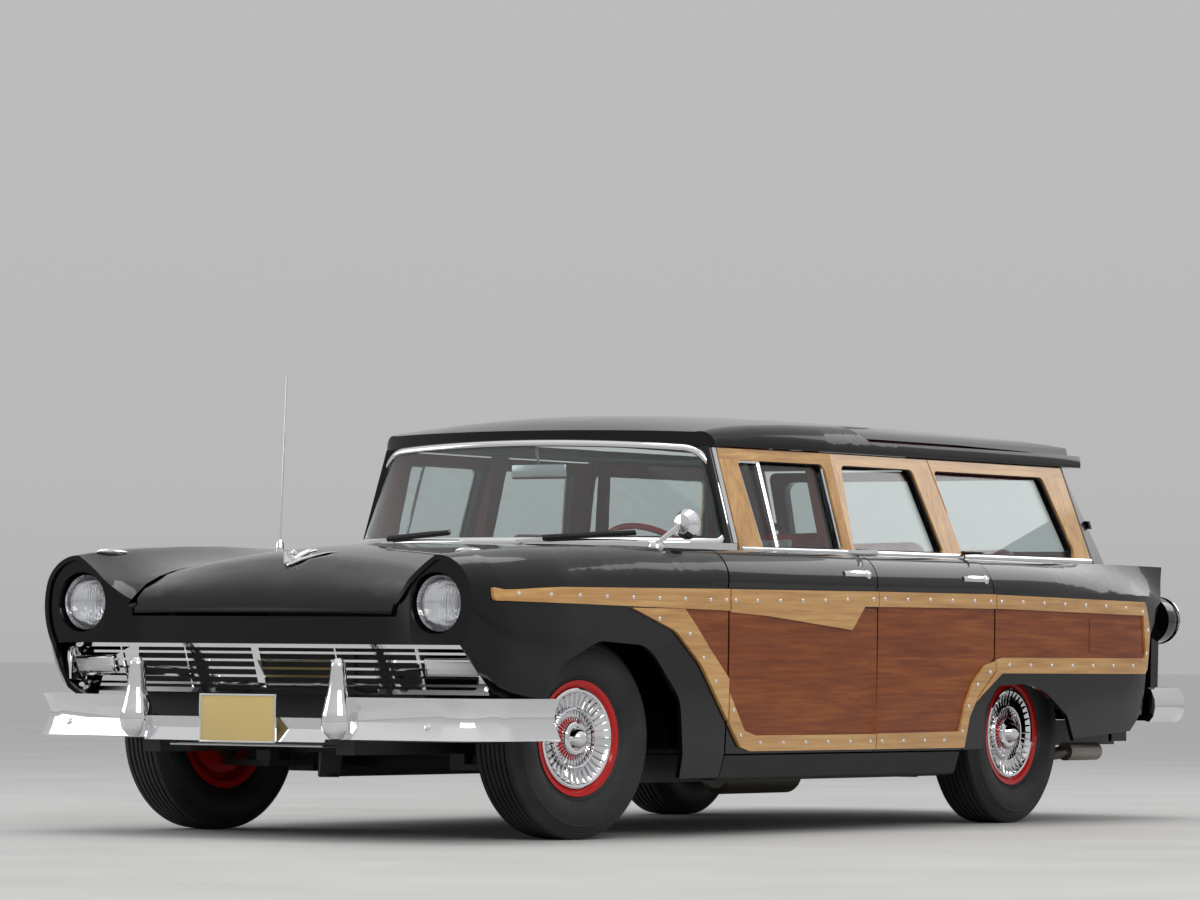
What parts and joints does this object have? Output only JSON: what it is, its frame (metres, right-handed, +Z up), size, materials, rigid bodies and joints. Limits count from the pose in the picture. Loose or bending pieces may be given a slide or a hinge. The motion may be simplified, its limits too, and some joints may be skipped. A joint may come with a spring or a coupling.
{
  "type": "station_wagon",
  "caption": "Four-door 1950s station wagon with wood-framed sides, chrome grille and bumpers, opening doors, hood and split rear gates, steering and rolling wheels",
  "frame": {"origin": "on the ground at the middle of the car's length and width", "axes": "X points to the car's left side, Y points from the front of the car to its rear, Z points up"},
  "size_m": [1.9518, 5.165, 1.6002],
  "materials": {
    "black_paint": "gloss",
    "light_wood": "gloss",
    "bright_chrome": "mirror polished",
    "clear_glass": "clear",
    "tyre_rubber": "matte",
    "wheel_steel": "gloss",
    "red_plastic": "gloss",
    "red_vinyl": "satin",
    "red_trim": "satin",
    "floor_steel": "matte",
    "red_lens": "gloss",
    "chassis_steel": "satin",
    "engine_iron": "painted"
  },
  "bodies": {
    "body": {"body_wood": "light_wood", "bright_fittings": "bright_chrome", "control_arms": "chassis_steel", "cowl": "black_paint", "dashboard": "red_trim", "engine_block": "engine_iron", "exhaust": "chassis_steel", "fixed_glass": "clear_glass", "floor": "floor_steel", "frame_rails": "chassis_steel", "front_bumper": "bright_chrome", "front_fenders": "black_paint", "grille": "bright_chrome", "lamp_lenses": "clear_glass", "lamp_rings": "bright_chrome", "nose_panel": "black_paint", "quarter_panels": "black_paint", "radiator": "chassis_steel", "rear_axle": "chassis_steel", "rear_bumper": "bright_chrome", "roof": "black_paint", "seats": "red_vinyl", "springs": "chassis_steel", "tail_lamp_lenses": "red_lens", "tail_panel": "black_paint", "window_frames": "black_paint", "windshield_frame": "bright_chrome"},
    "hood_body": {"hood": "black_paint"},
    "front_left_door_body": {"front_left_door": "black_paint", "front_left_door_glass": "clear_glass", "front_left_door_wood": "light_wood"},
    "front_right_door_body": {"front_right_door": "black_paint", "front_right_door_glass": "clear_glass", "front_right_door_wood": "light_wood"},
    "rear_left_door_body": {"rear_left_door": "black_paint", "rear_left_door_glass": "clear_glass", "rear_left_door_wood": "light_wood"},
    "rear_right_door_body": {"rear_right_door": "black_paint", "rear_right_door_glass": "clear_glass", "rear_right_door_wood": "light_wood"},
    "tailgate_body": {"tailgate": "black_paint", "tailgate_wood": "light_wood"},
    "liftgate_body": {"liftgate": "black_paint", "liftgate_glass": "clear_glass"},
    "steering_wheel_body": {"steering_wheel": "red_plastic"},
    "left_knuckle_body": {"left_knuckle": "chassis_steel"},
    "right_knuckle_body": {"right_knuckle": "chassis_steel"},
    "front_left_wheel_body": {"front_left_wheel": "wheel_steel", "front_left_tyre": "tyre_rubber"},
    "front_right_wheel_body": {"front_right_wheel": "wheel_steel", "front_right_tyre": "tyre_rubber"},
    "rear_left_wheel_body": {"rear_left_wheel": "wheel_steel", "rear_left_tyre": "tyre_rubber"},
    "rear_right_wheel_body": {"rear_right_wheel": "wheel_steel", "rear_right_tyre": "tyre_rubber"}
  },
  "joints": [
    {"name": "steer_left", "type": "hinge", "parent": "body", "child": "left_knuckle_body", "pos_m": [0.662, -1.6945, 0.338], "axis": [0, 0, 1], "range_deg": [-20.5, 39.5]},
    {"name": "steer_right", "type": "hinge", "parent": "body", "child": "right_knuckle_body", "pos_m": [-0.662, -1.6945, 0.338], "axis": [0, 0, 1], "range_deg": [-20.5, 39.5]},
    {"name": "steering_column", "type": "hinge", "parent": "body", "child": "steering_wheel_body", "pos_m": [0.38, -0.5845, 0.924], "axis": [0, 0.7192, 0.6948], "range_deg": [-495, 950]},
    {"name": "front_left_wheel_spin", "type": "hinge", "parent": "left_knuckle_body", "child": "front_left_wheel_body", "pos_m": [0.7483, -1.70894, 0.338], "axis": [0.9863, -0.165, 0], "continuous": true},
    {"name": "front_right_wheel_spin", "type": "hinge", "parent": "right_knuckle_body", "child": "front_right_wheel_body", "pos_m": [-0.7483, -1.68006, 0.338], "axis": [0.9863, -0.165, 0], "continuous": true},
    {"name": "rear_left_wheel_spin", "type": "hinge", "parent": "body", "child": "rear_left_wheel_body", "pos_m": [0.7165, 1.2519, 0.338], "axis": [1, 0, 0], "continuous": true},
    {"name": "rear_right_wheel_spin", "type": "hinge", "parent": "body", "child": "rear_right_wheel_body", "pos_m": [-0.7165, 1.2519, 0.338], "axis": [1, 0, 0], "continuous": true},
    {"name": "front_left_door_hinge", "type": "hinge", "parent": "body", "child": "front_left_door_body", "pos_m": [0.973, -0.9795, 0.6], "axis": [0, 0, -1], "range_deg": [0, 65]},
    {"name": "front_right_door_hinge", "type": "hinge", "parent": "body", "child": "front_right_door_body", "pos_m": [-0.973, -0.9795, 0.6], "axis": [0, 0, 1], "range_deg": [0, 65]},
    {"name": "rear_left_door_hinge", "type": "hinge", "parent": "body", "child": "rear_left_door_body", "pos_m": [0.973, 0.0095, 0.6], "axis": [0, 0, -1], "range_deg": [0, 65]},
    {"name": "rear_right_door_hinge", "type": "hinge", "parent": "body", "child": "rear_right_door_body", "pos_m": [-0.973, 0.0095, 0.6], "axis": [0, 0, 1], "range_deg": [0, 65]},
    {"name": "hood_hinge", "type": "hinge", "parent": "body", "child": "hood_body", "pos_m": [0, -2.4205, 0.748], "axis": [1, 0, 0], "range_deg": [0, 50]},
    {"name": "liftgate_hinge", "type": "hinge", "parent": "body", "child": "liftgate_body", "pos_m": [0, 1.8715, 1.362], "axis": [1, 0, 0], "range_deg": [0, 80]},
    {"name": "tailgate_hinge", "type": "hinge", "parent": "body", "child": "tailgate_body", "pos_m": [0, 2.2635, 0.522], "axis": [-1, 0, 0], "range_deg": [0, 90]}
  ],
  "couplings": [
    {"joint": "steer_right", "follows": "steer_left", "ratio": 1},
    {"joint": "steering_column", "follows": "steer_left", "ratio": 24}
  ]
}
